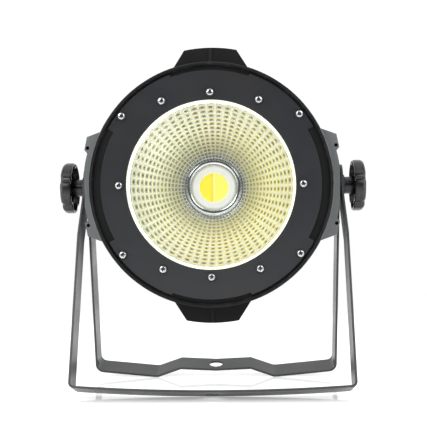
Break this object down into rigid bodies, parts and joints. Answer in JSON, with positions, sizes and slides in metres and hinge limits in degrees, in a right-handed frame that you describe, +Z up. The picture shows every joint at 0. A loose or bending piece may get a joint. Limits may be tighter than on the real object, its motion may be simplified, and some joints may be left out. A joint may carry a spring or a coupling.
{
  "type": "par can light",
  "caption": "Round stage light with a single large LED behind a faceted bowl reflector and glass, tilting on star knobs in a double floor yoke.",
  "frame": {"origin": "centre of the bounding box on the floor that the two yokes stand on", "axes": "+Z up, the light faces -Y, X runs along the tilt axis from knob to knob"},
  "size_m": [0.2786, 0.1698, 0.3055],
  "materials": {
    "housing_paint": "satin black powder coat",
    "plate_gloss": "gloss charcoal enamel",
    "yoke_paint": "satin dark grey enamel on steel strip",
    "screw_plate": "bright nickel",
    "screw_black": "black oxide",
    "zinc_steel": "bright zinc",
    "brass": "turned",
    "fibre": "black fibre",
    "glass": "clear tempered glass",
    "silicone": "translucent white silicone",
    "reflector_metal": "faceted bright vapour-coated aluminium",
    "throat_chrome": "polished",
    "white_ceramic": "white",
    "phosphor_warm": "warm yellow silicone",
    "phosphor_cool": "pale yellow silicone",
    "bare_aluminium": "milled",
    "black_plastic": "fine texture",
    "knob_plastic": "moulded black",
    "circuit_board": "green solder mask",
    "winding": "taped coil",
    "capacitor_sleeve": "shrink sleeve",
    "display_red": "smoked red window",
    "key_grey": "light grey",
    "contact_gold": "plated"
  },
  "bodies": {
    "outer_yoke": {"outer_yoke": "yoke_paint"},
    "inner_yoke": {"inner_yoke": "yoke_paint", "yoke_washers": "fibre"},
    "head": {"head_washers": "fibre", "pivot_bushes": "brass", "front_housing": "housing_paint", "rear_housing": "housing_paint", "lug_screws": "screw_black", "front_plate": "plate_gloss", "plate_screws": "screw_plate", "lens_glass": "glass", "lens_gasket": "silicone", "reflector": "reflector_metal", "throat_ring": "throat_chrome", "led_frame": "white_ceramic", "led_board": "white_ceramic", "phosphor_warm": "phosphor_warm", "phosphor_cool": "phosphor_cool", "led_screws": "zinc_steel", "core_plate": "bare_aluminium", "core_posts": "zinc_steel", "core_screws": "zinc_steel", "heatsink": "bare_aluminium", "heatsink_screws": "zinc_steel", "fan_frame": "black_plastic", "fan_guard": "screw_black", "fan_screws": "screw_black", "driver_tray": "bare_aluminium", "driver_board": "circuit_board", "transformer": "winding", "capacitors": "capacitor_sleeve", "rear_cover": "housing_paint", "cover_screws": "screw_black", "safety_eye": "zinc_steel", "control_board": "circuit_board", "display_module": "black_plastic", "display_window": "display_red", "key_switches": "zinc_steel", "dmx_in_socket": "black_plastic", "dmx_in_pins": "contact_gold", "dmx_out_socket": "black_plastic", "socket_screws": "screw_black", "power_inlet": "black_plastic", "inlet_pins": "zinc_steel", "power_outlet": "black_plastic"},
    "fan_rotor": {"fan_rotor": "black_plastic"},
    "knob_left_washer": {"knob_left_washer": "screw_black"},
    "knob_left": {"knob_left": "knob_plastic", "knob_left_stud": "zinc_steel"},
    "knob_right_washer": {"knob_right_washer": "screw_black"},
    "knob_right": {"knob_right": "knob_plastic", "knob_right_stud": "zinc_steel"},
    "button_menu": {"button_menu": "key_grey"},
    "button_down": {"button_down": "key_grey"},
    "button_up": {"button_up": "key_grey"},
    "button_enter": {"button_enter": "key_grey"},
    "dmx_latch": {"dmx_latch": "zinc_steel"},
    "fuse_drawer": {"fuse_drawer": "black_plastic", "fuse": "glass"}
  },
  "joints": [
    {"name": "head_tilt", "type": "hinge", "parent": "outer_yoke", "child": "head", "pos_m": [0, -0.00691, 0.18347], "axis": [1, 0, 0], "range_deg": [-180, 180]},
    {"name": "bracket_splay", "type": "hinge", "parent": "outer_yoke", "child": "inner_yoke", "pos_m": [0, -0.00691, 0.18347], "axis": [1, 0, 0], "range_deg": [-33.46, 146.54]},
    {"name": "fan_spin", "type": "hinge", "parent": "head", "child": "fan_rotor", "pos_m": [0, 0.06839, 0.18347], "axis": [0, 1, 0], "continuous": true},
    {"name": "knob_left_travel", "type": "slide", "parent": "head", "child": "knob_left_washer", "axis": [-1, 0, 0], "range_m": [0, 0.0025]},
    {"name": "knob_left_turn", "type": "hinge", "parent": "knob_left_washer", "child": "knob_left", "pos_m": [-0.125, -0.00691, 0.18347], "axis": [-1, 0, 0], "range_deg": [0, 720]},
    {"name": "knob_right_travel", "type": "slide", "parent": "head", "child": "knob_right_washer", "axis": [1, 0, 0], "range_m": [0, 0.0025]},
    {"name": "knob_right_turn", "type": "hinge", "parent": "knob_right_washer", "child": "knob_right", "pos_m": [0.125, -0.00691, 0.18347], "axis": [1, 0, 0], "range_deg": [0, 720]},
    {"name": "menu_press", "type": "slide", "parent": "head", "child": "button_menu", "axis": [0, -1, 0], "range_m": [0, 0.0008], "stiffness_N_per_m": 500},
    {"name": "down_press", "type": "slide", "parent": "head", "child": "button_down", "axis": [0, -1, 0], "range_m": [0, 0.0008], "stiffness_N_per_m": 500},
    {"name": "up_press", "type": "slide", "parent": "head", "child": "button_up", "axis": [0, -1, 0], "range_m": [0, 0.0008], "stiffness_N_per_m": 500},
    {"name": "enter_press", "type": "slide", "parent": "head", "child": "button_enter", "axis": [0, -1, 0], "range_m": [0, 0.0008], "stiffness_N_per_m": 500},
    {"name": "latch_press", "type": "slide", "parent": "head", "child": "dmx_latch", "axis": [0, -1, 0], "range_m": [0, 0.0015], "stiffness_N_per_m": 600},
    {"name": "fuse_draw", "type": "slide", "parent": "head", "child": "fuse_drawer", "axis": [0, 1, 0], "range_m": [0, 0.018]}
  ],
  "couplings": [
    {"joint": "knob_left_turn", "follows": "knob_left_travel", "rad_per_m": 5026.5},
    {"joint": "knob_right_turn", "follows": "knob_right_travel", "rad_per_m": 5026.5}
  ]
}
